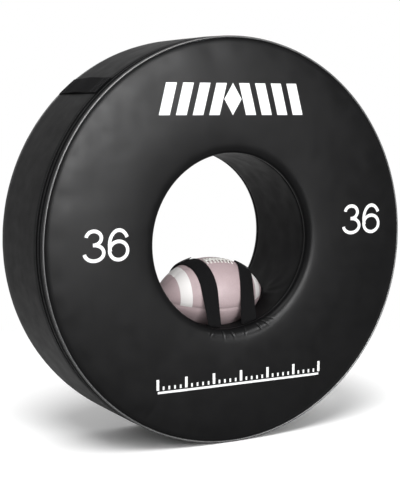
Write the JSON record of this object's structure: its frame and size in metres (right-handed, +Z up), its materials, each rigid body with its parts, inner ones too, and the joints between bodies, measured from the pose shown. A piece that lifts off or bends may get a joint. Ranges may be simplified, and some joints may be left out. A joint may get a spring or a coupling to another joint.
{
  "type": "tackling wheel",
  "caption": "Upright foam training ring in a zipped black vinyl cover, with a football strapped into its bore for tackling practice.",
  "frame": {"origin": "on the ground under the wheel's centre, at the middle of the tread's lowest facet", "axes": "+Z up, Y along the wheel's axle line with the printed front face towards -Y, +X to the right as seen from the front"},
  "size_m": [0.9132, 0.2538, 0.9131],
  "materials": {
    "black_vinyl": "satin",
    "black_piping": "satin",
    "grey_foam": "matte",
    "zip_tape": "matte",
    "zip_coil": "satin",
    "dark_metal": "satin",
    "black_webbing": "matte",
    "loop_pile": "matte",
    "hook_pile": "matte",
    "pale_leather": "satin",
    "white_lace": "matte",
    "black_rubber": "matte"
  },
  "bodies": {
    "wheel": {"foam_slab_front": "grey_foam", "foam_slab_middle": "grey_foam", "foam_slab_rear": "grey_foam", "cover_front_panel": "black_vinyl", "cover_rear_panel": "black_vinyl", "cover_bore_sleeve": "black_vinyl", "cover_front_border": "black_vinyl", "cover_tread_panel": "black_vinyl", "cover_closing_strip": "black_vinyl", "rim_piping_front": "black_piping", "rim_piping_rear": "black_piping", "zip_tape_front": "zip_tape", "zip_tape_rear": "zip_tape", "zip_coil_front": "zip_coil", "zip_coil_rear": "zip_coil", "zip_top_stop": "dark_metal", "zip_bottom_stop": "dark_metal", "carry_handle_upper": "black_webbing", "carry_handle_lower": "black_webbing", "ball_panel_rear_upper": "pale_leather", "ball_panel_rear_lower": "pale_leather", "ball_panel_front_lower": "pale_leather", "ball_panel_front_upper": "pale_leather", "ball_bladder": "black_rubber", "ball_valve": "black_rubber", "ball_laces": "white_lace", "left_strap_foot_front": "black_webbing", "left_strap_foot_rear": "black_webbing", "right_strap_foot_front": "black_webbing", "right_strap_foot_rear": "black_webbing"},
    "zip_slider": {"zip_slider": "dark_metal"},
    "zip_pull": {"zip_pull_tab": "dark_metal"},
    "left_strap_rear": {"left_strap_rear": "black_webbing", "left_strap_hook_patch": "hook_pile"},
    "left_strap_front": {"left_strap_front": "black_webbing", "left_strap_loop_patch": "loop_pile"},
    "right_strap_rear": {"right_strap_rear": "black_webbing", "right_strap_hook_patch": "hook_pile"},
    "right_strap_front": {"right_strap_front": "black_webbing", "right_strap_loop_patch": "loop_pile"}
  },
  "joints": [
    {"name": "zip_run", "type": "hinge", "parent": "wheel", "child": "zip_slider", "pos_m": [0, 0, 0.45657], "axis": [0, -1, 0], "range_deg": [0, 242.5]},
    {"name": "zip_pull_flip", "type": "hinge", "parent": "zip_slider", "child": "zip_pull", "pos_m": [0.24081, -0.0973, 0.84722], "axis": [0, -1, 0], "range_deg": [0, 160]},
    {"name": "left_strap_open", "type": "hinge", "parent": "wheel", "child": "left_strap_rear", "pos_m": [-0.0601, 0.09829, 0.27355], "axis": [-0.9442, -0.1162, 0.3082], "range_deg": [0, 100]},
    {"name": "left_strap_front_open", "type": "hinge", "parent": "wheel", "child": "left_strap_front", "pos_m": [-0.03591, -0.09829, 0.26733], "axis": [0.9754, 0.12, -0.1848], "range_deg": [0, 100]},
    {"name": "right_strap_open", "type": "hinge", "parent": "wheel", "child": "right_strap_rear", "pos_m": [0.13129, 0.09824, 0.31568], "axis": [-0.7045, 0.2818, -0.6513], "range_deg": [0, 100]},
    {"name": "right_strap_front_open", "type": "hinge", "parent": "wheel", "child": "right_strap_front", "pos_m": [0.0527, -0.09824, 0.27128], "axis": [0.8976, -0.359, 0.2556], "range_deg": [0, 100]}
  ],
  "couplings": [
    {"joint": "left_strap_front_open", "follows": "left_strap_open", "ratio": 1},
    {"joint": "right_strap_front_open", "follows": "right_strap_open", "ratio": 1}
  ]
}
